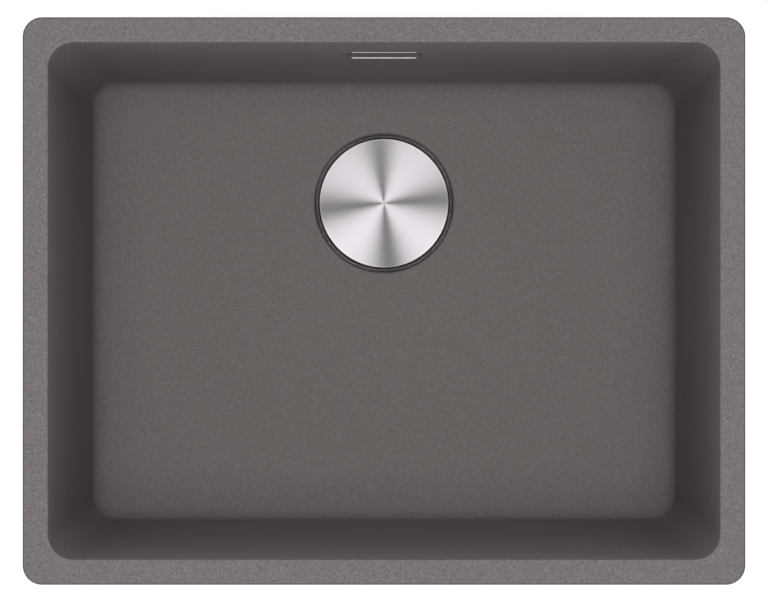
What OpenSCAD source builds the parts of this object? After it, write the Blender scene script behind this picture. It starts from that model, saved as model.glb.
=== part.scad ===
// Undermount sink cast in granite composite: one bowl, a basket strainer waste with a flush
// cover, and an overflow piped down the back. Millimetres. The origin is the centre of the
// bowl's mouth in the rim's top face, +Y is the back and +Z is up.

/* [Bowl] */
// Width of the bowl's mouth, left to right
mouth_w = 520; // [440:5:600]
// Depth of the bowl's mouth, front to back
mouth_d = 400; // [380:5:440]
// Radius of the bowl's upright corners
bowl_corner_r = 20; // [18:1:30]
// Height from the rim's top face to the floor at the waste
bowl_depth = 200; // [180:5:220]
// Slope of the walls from upright, in degrees
wall_draft = 6.2; // [5:0.1:7]
// Thickness of the cast wall
wall_t = 9; // [8:0.5:11]
// Radius between the walls and the floor
floor_fillet_r = 16; // [10:1:17]
// Fall of the floor from its edge to the waste
floor_fall = 3; // [1:0.5:5]

/* [Rim] */
// Width of the flat rim around the mouth
rim_ledge = 19.5; // [19:0.5:26]
// Thickness of the rim
rim_t = 12; // [11:0.5:15]
// Radius of the rim's outer corners
rim_corner_r = 15; // [8:1:20]
// Rounding of the rim's edges
edge_r = 1.5; // [0.5:0.25:2.5]
// Rounding where the rim's underside meets the wall
root_r = 2; // [1:0.25:2.5]

/* [Rim inserts] */
// Outer radius of a brass insert in the rim's underside
insert_r = 3.5; // [3:0.1:3.8]
// Length of a brass insert
insert_l = 8; // [6:0.5:9]
// Radius of the insert's tapped hole, for M5
insert_bore_r = 2.1; // [1.6:0.1:2.3]
// Distance of the inserts in from the rim's outer edge
insert_inset = 6; // [5:0.25:6.5]
// Spacing of the front and the back pair, left to right
insert_spacing_x = 380; // [300:5:400]
// Spacing of the left and the right pair, front to back
insert_spacing_y = 240; // [180:5:300]

/* [Waste opening] */
// Distance from the mouth's back edge to the middle of the waste
drain_back = 119; // [108:1:132]
// Radius of the hole through the floor
drain_hole_r = 45.5; // [45:0.1:46.5]
// Depth of the recess that takes the strainer's flange
recess_depth = 6; // [5.5:0.25:8]
// Thickness of the ledge left under the recess
drain_ledge_t = 8; // [6:0.5:10]
// Rounding of the recess's edge in the floor
recess_lip_r = 1.75; // [0.5:0.25:2]
// Width of the flat pad around the hole, under the floor
pad_w = 18.5; // [16:0.5:21]

/* [Strainer] */
// Width of the strainer's flange, outside the hole
flange_w = 11; // [10:0.25:12]
// Gap between the flange and the recess's wall
flange_gap = 1.25; // [0.5:0.05:1.5]
// Sheet thickness of the strainer cup
cup_t = 1; // [0.8:0.1:1.2]
// Gap between the strainer cup and the hole
cup_gap = 1; // [0.6:0.1:1.2]
// Depth of the strainer cup below its flange
cup_depth = 36; // [34:0.5:40]
// How much the cup narrows from its throat to its base
cup_taper = 2.5; // [1.5:0.25:3]
// Number of windows in the cup's base
cup_windows = 6; // [4:1:8]
// Sheet thickness of the basket
basket_t = 0.8; // [0.6:0.1:1]
// Gap between the basket's bead and the cup's throat
basket_gap = 0.6; // [0.4:0.1:1]
// Depth of the basket's bead below the flange
basket_drop = 2.8; // [2.5:0.1:3.5]
// How much the basket narrows from its bead to its base
basket_taper = 4.6; // [4:0.1:5.5]
// Number of slots around the basket
basket_slots = 24; // [18:1:30]
// Number of slots in the basket's base
floor_slots = 12; // [8:1:14]
// Radius of the grip on top of the basket's stem
grip_r = 9; // [7:0.25:11]
// Radius of the basket's stem
stem_r = 3; // [2.5:0.1:3.5]

/* [Cover] */
// Gap between the cover and the recess's wall
cover_gap = 4.5; // [3.5:0.25:5.5]
// Thickness of the cover
cover_t = 1.5; // [1.2:0.1:1.8]
// Bevel around the cover's top edge
cover_bevel = 0.5; // [0.2:0.1:0.8]
// Number of arms under the cover
cover_arms = 4; // [3:1:6]

/* [Seals] */
// Thickness of the seal under the strainer's flange
cup_seal_t = 1.2; // [1:0.1:1.5]
// Thickness of the seal under the pad
body_seal_t = 2; // [1.5:0.1:3]
// Thickness of the overflow's seal
overflow_seal_t = 1.5; // [1:0.1:2]

/* [Waste body] */
// How much wider than the hole the body's inside is
body_gap = 2; // [1.5:0.25:3]
// Wall thickness of the body
body_t = 3; // [2.5:0.1:3.5]
// Width of the body's top flange
body_flange_w = 10.5; // [9:0.25:12]
// Number of ribs under the body's top flange
body_ribs = 12; // [8:1:16]
// Outer radius of the outlet's thread, for G 1 1/2
outlet_r = 23.9; // [23:0.1:25]
// Wall thickness of the outlet
outlet_t = 4.4; // [3.5:0.1:5]
// Length of the outlet's threaded tube
outlet_l = 24; // [20:1:30]
// Length of the hose's inlet, out from the body's inside
inlet_l = 26.5; // [25:0.5:29]

/* [Overflow] */
// Distance of the overflow's middle below the rim's top face
overflow_drop = 56; // [50:1:62]
// Width of the overflow slot
slot_w = 59; // [57:0.5:62]
// Height of the overflow slot
slot_h = 17; // [16:0.5:18]
// Radius of the slot's corners
slot_corner_r = 4; // [2:0.5:7]
// Gap at each end of the face plate, in the slot
plate_end_gap = 4; // [3:0.25:5]
// How far the face plate's top laps over the wall above the slot
plate_lap = 6.5; // [5:0.25:8]
// Gap below the face plate, through which most of the water runs
plate_foot_gap = 5.5; // [4.5:0.25:6.5]
// Sheet thickness of the face plate
plate_t = 1; // [0.8:0.1:1.2]
// How far the plate's bottom lip stands into the bowl
lip_reach = 2.4; // [2.2:0.1:3]
// Depth of the housing behind the wall
head_depth = 13.5; // [12:0.5:15]

/* [Overflow hose] */
// Outer radius of the hose over its ribs
hose_r = 10.5; // [10:0.1:10.8]
// Height of the ribs
rib_h = 1.1; // [0.9:0.1:1.3]
// Wall thickness of the hose between its ribs
hose_t = 1.1; // [0.9:0.1:1.3]
// Spacing of the ribs
rib_pitch = 4; // [3.5:0.1:5]
// Straight length of the hose at the waste body
hose_straight = 11.5; // [11:0.5:14]

/* [Hidden] */
$fn = 96;

// Steps of a corner's quarter turn, of the small roundings and the fillets; sides of the hose
corner_steps = 8;
edge_steps = 3;
fillet_steps = 6;
arc_steps = 6;
hose_sides = 12;
// How far a cutter runs past the face that it cuts
over = 1;
// Running gap between a moving piece and what it rests on
rest_gap = 0.3;
// Gap of a pin or a shank in its hole
pin_gap = 0.2;

// Waste opening and what sits in it
drain_y = mouth_d / 2 - drain_back;
floor_z = -bowl_depth;
recess_z = floor_z - recess_depth;
pad_z = recess_z - drain_ledge_t;
under_z = floor_z - wall_t;
flange_r = drain_hole_r + flange_w;
recess_r = flange_r + flange_gap;
flange_z = recess_z + cup_seal_t + cup_t;
cup_z = flange_z - cup_depth;
throat_r = drain_hole_r - cup_gap - cup_t;
cup_base_r = throat_r - cup_taper;
cover_r = recess_r - cover_gap;

// Waste body and its hose inlet
body_z = pad_z - body_seal_t;
body_r = drain_hole_r + body_gap;
body_flange_r = body_r + body_flange_w;
body_flange_t = 4;
inlet_r = hose_r + 2.7;
inlet_z = body_z - body_flange_t - inlet_r - 0.8;
inlet_y = drain_y + body_r + inlet_l;

// Shape of the cast bowl: the fillet's centre line and the draft's inset at a depth
wall_out = wall_t / cos(wall_draft);
fillet_depth = bowl_depth - floor_fall - floor_fillet_r;
fillet_inset = inset(fillet_depth) + floor_fillet_r / cos(wall_draft);
outer_fillet_r = floor_fillet_r + wall_t;
rim_w = mouth_w + 2 * rim_ledge;
rim_d = mouth_d + 2 * rim_ledge;

// Where the overflow's housing, its screws and its hose stand against the back wall
boss_lap = 10.5;
boss_h = slot_h + 2 * boss_lap;
boss_rise = 2;
boss_y = back_outside(overflow_drop - boss_h / 2) + boss_rise;
screw_clear = 9.5;
screw_x = slot_w / 2 + screw_clear;
boss_margin = 9;
boss_w = 2 * (screw_x + boss_margin);
head_y = boss_y + overflow_seal_t;
clip_t = 1.6;
clip_r = hose_r + clip_t;
clip_gap = 0.9;
nozzle_drop = 13;
nozzle_top_z = -overflow_drop - boss_h / 2 - nozzle_drop;
nozzle_y = back_outside(-nozzle_top_z) + clip_r + clip_gap;
hose_bore_r = hose_r - rib_h - hose_t;
hose_bend_r = nozzle_y - inlet_y - hose_straight;

function inset(depth) = max(0, depth - edge_r) * tan(wall_draft);
function back_inside(depth) = mouth_d / 2 - inset(depth);
function back_outside(depth) = back_inside(depth) + wall_out;

// An arc's points from angle a to angle b about c
function arc(c, r, a, b, steps = arc_steps) =
  [for (i = [0:steps]) c + r * [cos(a + (b - a) * i / steps), sin(a + (b - a) * i / steps)]];

// The outline of sheet metal: a path and its copy moved to the path's left by the thickness
function unit(v) = v / norm(v);
function turned(v) = [-v[1], v[0]];
function side(path, i) =
  let (
    before = unit(path[max(i, 1)] - path[max(i, 1) - 1]),
    after = unit(path[min(i + 1, len(path) - 1)] - path[min(i, len(path) - 2)]),
    middle = turned(unit(before + after))
  ) middle / (middle * turned(before));
function sheet_outline(path, t) =
  concat(path, [for (i = [len(path) - 1:-1:0]) path[i] + t * side(path, i)]);

module rounded_rect(w, h, r) {
  square([w - 2 * r, h], center = true);
  square([w, h - 2 * r], center = true);
  for (x = [-1, 1], y = [-1, 1])
    translate([x * (w / 2 - r), y * (h / 2 - r)])
      circle(r = r);
}

// Stands a flat outline upright, across the back wall, from y to y + t
module upright(y, t) {
  translate([0, y + t, -overflow_drop])
    rotate([90, 0, 0])
      linear_extrude(height = t)
        children();
}

module at_drain() {
  translate([0, drain_y, 0])
    children();
}

// Bowl

// One level of the bowl: a rounded rectangle shrunk by shrink from the mouth's outline
ring_points = 4 * (corner_steps + 1);
function rect_ring(w, d, r, z) =
  [for (quarter = [0:3], i = [0:corner_steps])
    let (
      a = 90 * (quarter + i / corner_steps),
      sx = quarter == 0 || quarter == 3 ? 1 : -1,
      sy = quarter < 2 ? 1 : -1
    ) [sx * (w / 2 - r) + r * cos(a), sy * (d / 2 - r) + r * sin(a), z]];
function mouth_ring(shrink, r, z) = rect_ring(mouth_w - 2 * shrink, mouth_d - 2 * shrink, r, z);
function rim_ring(shrink, z) =
  rect_ring(rim_w - 2 * shrink, rim_d - 2 * shrink, rim_corner_r - shrink, z);
function round_ring(r, z) =
  [for (i = [0:ring_points - 1])
    let (a = 360 * (i + 0.5) / ring_points) [r * cos(a), drain_y + r * sin(a), z]];

// A level on the fillet between wall and floor, for the inner or the outer skin
function fillet_ring(fillet_r, corner_r, a) =
  mouth_ring(
    fillet_inset - fillet_r * cos(a),
    corner_r - fillet_r * (cos(wall_draft) - cos(a)),
    -(fillet_depth + fillet_r * sin(a))
  );
function fillet_angle(i) = wall_draft + (90 - wall_draft) * i / fillet_steps;
function edge_angle(i) = 90 * i / edge_steps;

outer_corner_r = bowl_corner_r + wall_t;
root_depth = rim_t + root_r;
bowl_rings = concat(
  [round_ring(drain_hole_r - 4, floor_z), round_ring(recess_r + recess_lip_r + 2, floor_z)],
  [for (i = [fillet_steps:-1:0]) fillet_ring(floor_fillet_r, bowl_corner_r, fillet_angle(i))],
  [for (i = [edge_steps:-1:0])
    let (out = edge_r * (1 - sin(edge_angle(i))))
      mouth_ring(-out, bowl_corner_r + out, -edge_r * (1 - cos(edge_angle(i))))],
  [for (i = [0:edge_steps])
    rim_ring(edge_r * (1 - sin(edge_angle(i))), -edge_r * (1 - cos(edge_angle(i))))],
  [for (i = [0:edge_steps])
    rim_ring(edge_r * (1 - cos(edge_angle(i))), -rim_t + edge_r * (1 - sin(edge_angle(i))))],
  [for (i = [0:edge_steps])
    let (out = root_r * (1 - sin(edge_angle(i))))
      mouth_ring(
        inset(root_depth) - wall_out - out,
        outer_corner_r + out,
        -root_depth + root_r * cos(edge_angle(i))
      )],
  [for (i = [0:fillet_steps]) fillet_ring(outer_fillet_r, outer_corner_r, fillet_angle(i))],
  [round_ring(drain_hole_r + pad_w + 2, under_z), round_ring(drain_hole_r - 4, under_z)]
);

// A skin over rings of equal count, closed from the last ring back to the first
module closed_loft(rings) {
  n = len(rings[0]);
  m = len(rings);
  polyhedron(
    points = [for (ring = rings) each ring],
    faces = [for (i = [0:m - 1], j = [0:n - 1])
      let (
        next = (j + 1) % n,
        a = i * n + j,
        b = i * n + next,
        c = (i + 1) % m * n + j,
        d = (i + 1) % m * n + next
      ) each [[a, b, c], [b, d, c]]],
    convexity = 10
  );
}

// A flat upright pad cast on the back wall, where the overflow's housing sits
module overflow_boss() {
  y = back_outside(overflow_drop + boss_h / 2) - 3;
  upright(y, boss_y - y)
    rounded_rect(boss_w, boss_h, 5);
}

module overflow_slot() {
  upright(mouth_d / 2 - inset(bowl_depth), rim_d / 2)
    rounded_rect(slot_w, slot_h, slot_corner_r);
}

// The waste's hole, the flange's recess and the recess's rounded edge
module drain_cut() {
  at_drain()
    rotate_extrude()
      polygon(concat(
        [[0, pad_z - over], [drain_hole_r, pad_z - over]],
        [[drain_hole_r, recess_z], [recess_r, recess_z]],
        arc([recess_r + recess_lip_r, floor_z - recess_lip_r], recess_lip_r, 180, 90),
        [[recess_r + recess_lip_r, floor_z + over], [0, floor_z + over]]
      ));
}

module bowl() {
  color("#67625f")
    difference() {
      union() {
        closed_loft(bowl_rings);
        overflow_boss();
        at_drain()
          translate([0, 0, pad_z])
            cylinder(r = drain_hole_r + pad_w, h = under_z - pad_z + over);
      }
      overflow_slot();
      drain_cut();
      at_rim_inserts()
        cylinder(r = insert_r, h = insert_l);
      at_overflow_screws()
        cylinder(r = fixing_r, h = fixing_l);
    }
}

// Brass inserts in the rim's underside, which take the clips that hold the sink up

module at_rim_inserts() {
  for (x = [-1, 1], y = [-1, 1]) {
    translate([x * insert_spacing_x / 2, y * (rim_d / 2 - insert_inset), -rim_t])
      children();
    translate([x * (rim_w / 2 - insert_inset), y * insert_spacing_y / 2, -rim_t])
      children();
  }
}

module rim_inserts() {
  color("#b08d4a")
    at_rim_inserts()
      difference() {
        cylinder(r = insert_r, h = insert_l);
        translate([0, 0, -over])
          cylinder(r = insert_bore_r, h = insert_l + over - 1);
      }
}

// Strainer cup, clamped to the floor between two seals

module cup_seal() {
  color("#232323")
    at_drain()
      translate([0, 0, recess_z])
        difference() {
          cylinder(r = flange_r - 0.5, h = cup_seal_t);
          translate([0, 0, -over])
            cylinder(r = throat_r + throat_round_r + 0.3, h = cup_seal_t + 2 * over);
        }
}

throat_round_r = 3;
cup_round_r = 5;
screw_r = 3;
window_in_r = 12;
window_out_r = cup_base_r - cup_round_r - 5;
spoke_w = 5;

module strainer_cup() {
  color("#b9b9bb")
    at_drain()
      difference() {
        rotate_extrude()
          polygon(sheet_outline(concat(
            [[flange_r, flange_z]],
            arc([throat_r + throat_round_r, flange_z - throat_round_r], throat_round_r, 90, 180),
            arc([cup_base_r - cup_round_r, cup_z + cup_round_r], cup_round_r, 0, -90),
            [[screw_r + pin_gap, cup_z]]
          ), cup_t));
        cup_windows();
      }
}

// Windows between two radii, parted by straight spokes
module cup_windows() {
  translate([0, 0, cup_z - cup_t - over])
    linear_extrude(height = cup_t + 2 * over)
      difference() {
        circle(r = window_out_r);
        circle(r = window_in_r);
        for (i = [1:cup_windows])
          rotate(360 * i / cup_windows)
            translate([0, -spoke_w / 2])
              square([window_out_r + over, spoke_w]);
      }
}

module body_seal() {
  color("#232323")
    at_drain()
      translate([0, 0, body_z])
        difference() {
          cylinder(r = body_flange_r, h = body_seal_t);
          translate([0, 0, -over])
            cylinder(r = drain_hole_r + 1, h = body_seal_t + 2 * over);
        }
}

// Waste body: a moulded bowl under the floor, a threaded outlet below and a hose inlet behind

hub_r = 8;
hub_z = cup_z - cup_t;
hub_l = 20;
hub_rib_t = 3;
chamber_gap = 3;
chamber_z = cup_z - cup_t - chamber_gap;
cone_h = 15;
outlet_top_z = chamber_z - cone_h;
outlet_z = outlet_top_z - outlet_l;
outlet_bore_r = outlet_r - outlet_t;
inlet_bore_r = hose_bore_r - 0.1;
socket_gap = 0.3;
socket_l = 8;
rib_t = 2.5;
rib_drop = 11;
hub_insert_r = 4.8;
hub_insert_l = 9;

module waste_body() {
  color("#2b2b2d")
    difference() {
      union() {
        difference() {
          union() {
            at_drain() {
              body_shell();
              body_flange_ribs();
            }
            inlet_tube(drain_y + body_r, inlet_r);
          }
          inlet_tube(drain_y + body_r - body_t, inlet_bore_r);
          inlet_tube(inlet_y - socket_l, hose_r + socket_gap);
        }
        at_drain()
          hub();
      }
      at_drain()
        translate([0, 0, hub_z - hub_l - over]) {
          cylinder(r = screw_r + pin_gap, h = hub_l + 2 * over);
          cylinder(r = hub_insert_r, h = hub_insert_l + over, $fn = 6);
        }
    }
}

// A round bar along Y from y to the inlet's mouth
module inlet_tube(y, r) {
  translate([0, y, inlet_z])
    rotate([-90, 0, 0])
      cylinder(r = r, h = inlet_y - y);
}

module body_shell() {
  rotate_extrude()
    polygon([
      [body_r, body_z],
      [body_r, chamber_z],
      [outlet_bore_r, outlet_top_z],
      [outlet_bore_r, outlet_z],
      [outlet_r - 1, outlet_z],
      [outlet_r, outlet_z + 1],
      [outlet_r, outlet_top_z - body_t],
      [body_r + body_t, chamber_z - body_t / 2],
      [body_r + body_t, body_z - body_flange_t],
      [body_flange_r, body_z - body_flange_t],
      [body_flange_r, body_z]
    ]);
}

// Gussets under the flange, all round but where the inlet stands
module body_flange_ribs() {
  for (i = [0:body_ribs - 1])
    let (a = 90 + 360 * (i + 0.5) / body_ribs)
      rotate(a)
        rotate([90, 0, 0])
          translate([0, 0, -rib_t / 2])
            linear_extrude(height = rib_t)
              polygon([
                [body_r + body_t / 2, body_z - over],
                [body_flange_r - 1, body_z - over],
                [body_flange_r - 1, body_z - body_flange_t],
                [body_r + body_t, body_z - body_flange_t - rib_drop],
                [body_r + body_t / 2, body_z - body_flange_t - rib_drop]
              ]);
}

// The hub that takes the clamping screw, on three ribs across the chamber
module hub() {
  translate([0, 0, hub_z - hub_l])
    cylinder(r = hub_r, h = hub_l);
  intersection() {
    translate([0, 0, hub_z - hub_l])
      for (i = [0:2])
        rotate(120 * i + 30)
          translate([0, -hub_rib_t / 2, 0])
            cube([body_r + body_t, hub_rib_t, hub_l - 2]);
    rotate_extrude()
      polygon([
        [0, chamber_z],
        [body_r + 1, chamber_z],
        [outlet_bore_r + 1, outlet_top_z - 0.5],
        [outlet_bore_r + 1, outlet_z],
        [0, outlet_z]
      ]);
  }
}

module hub_insert() {
  color("#b08d4a")
    at_drain()
      translate([0, 0, hub_z - hub_l])
        difference() {
          cylinder(r = hub_insert_r, h = hub_insert_l, $fn = 6);
          translate([0, 0, -over])
            cylinder(r = screw_r + pin_gap, h = hub_insert_l + 2 * over);
        }
}

screw_head_r = 6;
screw_head_h = 2.4;
socket_r = 2.3;

module clamp_screw() {
  color("#b9b9bb")
    at_drain()
      difference() {
        union() {
          rotate_extrude()
            polygon(concat(
              [[0, cup_z], [screw_head_r, cup_z], [screw_head_r, cup_z + screw_head_h - 1]],
              arc([screw_head_r - 1, cup_z + screw_head_h - 1], 1, 0, 90, 3),
              [[0, cup_z + screw_head_h]]
            ));
          translate([0, 0, hub_z - hub_l + 1])
            cylinder(r = screw_r, h = cup_z - hub_z + hub_l);
        }
        translate([0, 0, cup_z + 0.6])
          cylinder(r = socket_r, h = screw_head_h, $fn = 6);
      }
}

// Basket strainer, which lifts out: a slotted basket, a rubber plug and a stem with a grip

bead_r = 0.9;
basket_r = throat_r - basket_gap - bead_r - basket_t / 2;
basket_base_r = basket_r - basket_taper;
basket_top_z = flange_z - basket_drop;
basket_round_r = 3;
plug_seat_z = cup_z + rest_gap;
plug_hub_h = 3.6;
plug_t = 2.3;
plug_z = plug_seat_z + 4.2;
basket_z = plug_z + plug_t + plug_hub_h + basket_t;
plug_hub_r = 7;
plug_skirt_w = 10.5;

module strainer_basket() {
  color("#c4c4c6")
    at_drain()
      difference() {
        union() {
          rotate_extrude()
            polygon(sheet_outline(concat(
              [[basket_r, basket_top_z]],
              arc([basket_base_r - basket_round_r, basket_z + basket_round_r], basket_round_r, 0, -90),
              [[stem_r + pin_gap, basket_z]]
            ), basket_t));
          translate([0, 0, basket_top_z])
            rotate_extrude()
              translate([basket_r + basket_t / 2, 0])
                circle(r = bead_r, $fn = 24);
        }
        basket_wall_slots();
        basket_floor_slots();
      }
}

basket_slot_w = 3;
basket_slot_foot = 4.5;
basket_slot_head = 3.5;

module basket_wall_slots() {
  foot_z = basket_z + basket_slot_foot;
  for (i = [1:basket_slots])
    rotate(360 * i / basket_slots)
      translate([basket_base_r - basket_round_r, -basket_slot_w / 2, foot_z])
        cube([basket_taper + 2 * basket_round_r, basket_slot_w, basket_top_z - basket_slot_head - foot_z]);
}

// Slots like spokes, with round ends, between the stem and the rounded foot of the wall
module basket_floor_slots() {
  in_r = plug_hub_r + 6;
  out_r = basket_base_r - basket_round_r - 5;
  translate([0, 0, basket_z - basket_t - over])
    linear_extrude(height = basket_t + 2 * over)
      for (i = [1:floor_slots])
        rotate(360 * i / floor_slots) {
          translate([in_r, -basket_slot_w / 2])
            square([out_r - in_r, basket_slot_w]);
          for (x = [in_r, out_r])
            translate([x, 0])
              circle(r = basket_slot_w / 2, $fn = 24);
        }
}

// The rubber plug closes the cup's windows from above, with a lip on the cup's base
module plug_seal() {
  lip_out_r = cup_base_r - cup_round_r - 0.2;
  skirt_in_r = lip_out_r - plug_skirt_w;
  color("#232323")
    at_drain()
      rotate_extrude()
        polygon([
          [stem_r + pin_gap, plug_z + plug_t + plug_hub_h],
          [plug_hub_r, plug_z + plug_t + plug_hub_h],
          [plug_hub_r, plug_z + plug_t],
          [skirt_in_r + 0.5, plug_z + plug_t - 0.5],
          [lip_out_r - 2.5, plug_z + 0.4],
          [lip_out_r + 0.7, plug_seat_z + 1.8],
          [lip_out_r, plug_seat_z],
          [lip_out_r - 2, plug_seat_z],
          [lip_out_r - 4, plug_seat_z + 2],
          [skirt_in_r - 0.5, plug_z],
          [stem_r + pin_gap, plug_z]
        ]);
}

grip_h = 6.5;
grip_drop = 6;
grip_top_z = floor_z - cover_t - grip_drop;
stem_nut_r = 5;
stem_nut_h = 1.8;

module basket_stem() {
  color("#c4c4c6")
    at_drain()
      rotate_extrude()
        polygon(concat(
          [[0, plug_z - stem_nut_h + 0.4], [stem_r, plug_z - stem_nut_h + 0.4], [stem_r, basket_z]],
          [[stem_r + 3, basket_z], [stem_r + 3, basket_z + 1.5], [stem_r + 1, basket_z + 3]],
          [[stem_r + 1, grip_top_z - grip_h - 1.5]],
          [[grip_r, grip_top_z - grip_h]],
          arc([grip_r - 1.5, grip_top_z - 1.5], 1.5, 0, 90, 4),
          [[0, grip_top_z]]
        ));
}

module stem_nut() {
  color("#b9b9bb")
    at_drain()
      translate([0, 0, plug_z - stem_nut_h])
        difference() {
          cylinder(r = stem_nut_r, h = stem_nut_h, $fn = 6);
          translate([0, 0, 0.4])
            cylinder(r = stem_r + pin_gap, h = stem_nut_h);
        }
}

// Flush cover: a brushed disc on a moulded spider whose socket drops over the basket's grip

module drain_cover() {
  color("#d0d0d3")
    at_drain()
      rotate_extrude()
        polygon([
          [0, floor_z - cover_t],
          [cover_r - 0.3, floor_z - cover_t],
          [cover_r, floor_z - cover_t + 0.3],
          [cover_r, floor_z - cover_bevel],
          [cover_r - cover_bevel, floor_z],
          [0, floor_z]
        ]);
}

socket_wall_t = 2;
arm_t = 2;
arm_r = throat_r - 1.5;
stiffener_r = arm_r - 6;

module cover_spider() {
  top_z = floor_z - cover_t;
  web_z = grip_top_z + rest_gap;
  grip_clear_r = grip_r + 0.4;
  color("#2b2b2d")
    at_drain() {
      rotate_extrude()
        polygon([
          [0, top_z],
          [grip_clear_r + socket_wall_t, top_z],
          [grip_clear_r + socket_wall_t, grip_top_z - grip_h + 1],
          [grip_clear_r, grip_top_z - grip_h + 1],
          [grip_clear_r, web_z],
          [0, web_z]
        ]);
      for (i = [1:cover_arms])
        rotate(360 * i / cover_arms + 45)
          rotate([90, 0, 0])
            translate([0, 0, -arm_t / 2])
              linear_extrude(height = arm_t)
                polygon([
                  [grip_clear_r + 1, top_z],
                  [arm_r, top_z],
                  [arm_r, top_z - 2],
                  [grip_clear_r + 1, web_z]
                ]);
      rotate_extrude()
        translate([stiffener_r, top_z - 1.2])
          square([1.6, 1.2]);
    }
}

// Overflow: a face plate over the slot, snapped into a housing screwed behind the wall

plate_w = slot_w - 2 * plate_end_gap;
plate_top_z = -overflow_drop + slot_h / 2 + plate_lap;
plate_bottom_z = -overflow_drop - slot_h / 2 + plate_foot_gap;
leg_inset = 5.5;
leg_x = plate_w / 2 - leg_inset;
leg_w = 5;
leg_t = 1;
leg_z = -overflow_drop - leg_t;
hook_h = 2;
// The plate lies flat on the wall above the slot; its foot is bent forward into the lip
lip_y = back_inside(-plate_bottom_z) - lip_reach;
bend_r = plate_t + 0.5;
bend_z = plate_bottom_z + bend_r;
bend_y = back_inside(bend_r * sin(wall_draft) - bend_z) - bend_r * cos(wall_draft);
plate_path = concat(
  [[lip_y, plate_bottom_z]],
  arc([bend_y, bend_z], bend_r, -90, -wall_draft),
  [[back_inside(-plate_top_z), plate_top_z]]
);

// Extrudes an outline drawn in Y and Z along X
module along_x(x, w) {
  translate([x, 0, 0])
    rotate([90, 0, 90])
      linear_extrude(height = w)
        children();
}

module overflow_plate() {
  leg_y = back_inside(-leg_z) - plate_t / 2;
  color("#c4c4c6") {
    along_x(-plate_w / 2, plate_w)
      polygon(sheet_outline(plate_path, plate_t));
    for (x = [-leg_x, leg_x])
      along_x(x - leg_w / 2, leg_w)
        polygon([
          [leg_y, leg_z],
          [catch_y, leg_z],
          [catch_y, leg_z - hook_h],
          [catch_y + leg_t, leg_z - hook_h],
          [catch_y + leg_t, leg_z + leg_t],
          [leg_y, leg_z + leg_t]
        ]);
  }
}

fixing_r = 3;
fixing_l = 6;
fixing_screw_r = 2;
pan_h = 2.4;
pan_r = 3.8;
driver_r = 2.2;
driver_t = 1;
head_flange_t = 2.5;
head_t = 2;
head_margin = 4.5;
head_w = slot_w + 2 * head_margin;
head_h = slot_h + 2 * head_margin;
catch_t = 3;
catch_y = head_y + 2 * catch_t;
catch_w = leg_w + 2;

// Puts a piece at the two screws, with its +Z running into the wall
module at_overflow_screws() {
  for (x = [-screw_x, screw_x])
    translate([x, boss_y, -overflow_drop])
      rotate([90, 0, 0])
        children();
}

module overflow_seal() {
  color("#232323")
    difference() {
      upright(boss_y, overflow_seal_t)
        difference() {
          rounded_rect(boss_w, boss_h - 1, 5);
          rounded_rect(slot_w + 2, slot_h + 2, slot_corner_r);
        }
      at_overflow_screws()
        translate([0, 0, -overflow_seal_t - over])
          cylinder(r = fixing_screw_r + pin_gap, h = overflow_seal_t + 2 * over);
    }
}

nozzle_r = hose_bore_r * cos(180 / hose_sides) - 0.3;
nozzle_bore_r = nozzle_r - 1.6;
nozzle_l = 15;
nozzle_well_r = nozzle_r + 2.3;
nozzle_well_h = nozzle_drop - 1;
duct_w = 2 * nozzle_well_r + 6;

module overflow_housing() {
  back_y = head_y + head_depth;
  inside_y = head_y + head_flange_t;
  color("#2b2b2d") {
    difference() {
      union() {
        upright(head_y, head_flange_t)
          rounded_rect(boss_w, boss_h - 1, 5);
        upright(head_y, head_depth)
          rounded_rect(head_w, head_h, 4);
        translate([-duct_w / 2, head_y, nozzle_top_z])
          cube([duct_w, head_depth, -overflow_drop - nozzle_top_z]);
        translate([0, nozzle_y, nozzle_top_z])
          cylinder(r = nozzle_well_r, h = nozzle_well_h);
        translate([0, nozzle_y, nozzle_top_z - nozzle_l])
          cylinder(r = nozzle_r, h = nozzle_l + over);
      }
      upright(head_y - over, head_depth - head_t + over)
        rounded_rect(head_w - 2 * head_t, head_h - 2 * head_t, 3);
      translate([-duct_w / 2 + head_t, inside_y, nozzle_top_z + head_t])
        cube([duct_w - 2 * head_t, back_y - head_t - inside_y, -overflow_drop - nozzle_top_z - head_t]);
      translate([0, nozzle_y, nozzle_top_z + head_t])
        cylinder(r = nozzle_well_r - head_t, h = nozzle_well_h - 2 * head_t);
      translate([0, nozzle_y, nozzle_top_z - nozzle_l - over])
        cylinder(r = nozzle_bore_r, h = nozzle_l + 2 * over + head_t);
      at_overflow_screws()
        translate([0, 0, -overflow_seal_t - head_flange_t - over])
          cylinder(r = fixing_screw_r + pin_gap, h = head_flange_t + 2 * over);
    }
    for (x = [-leg_x, leg_x])
      translate([x - catch_w / 2, catch_y - catch_t, leg_z - head_h / 2 + head_t])
        cube([catch_w, catch_t, head_h / 2 - head_t]);
  }
}

module overflow_inserts() {
  color("#b08d4a")
    at_overflow_screws()
      difference() {
        cylinder(r = fixing_r, h = fixing_l);
        translate([0, 0, -over])
          cylinder(r = fixing_screw_r + pin_gap, h = fixing_l + over - 0.5);
      }
}

module overflow_screws() {
  under_head = -overflow_seal_t - head_flange_t;
  color("#b9b9bb")
    at_overflow_screws()
      difference() {
        union() {
          translate([0, 0, under_head - pan_h])
            cylinder(r1 = pan_r - 0.8, r2 = pan_r, h = pan_h);
          translate([0, 0, under_head])
            cylinder(r = fixing_screw_r, h = fixing_l - 1 - under_head);
        }
        for (turn = [0, 90])
          rotate(turn)
            translate([-driver_r, -driver_t / 2, under_head - pan_h - over])
              cube([2 * driver_r, driver_t, over + pan_h / 2]);
      }
}

// Overflow hose: straight down the back, round under the bowl and into the waste body

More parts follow.
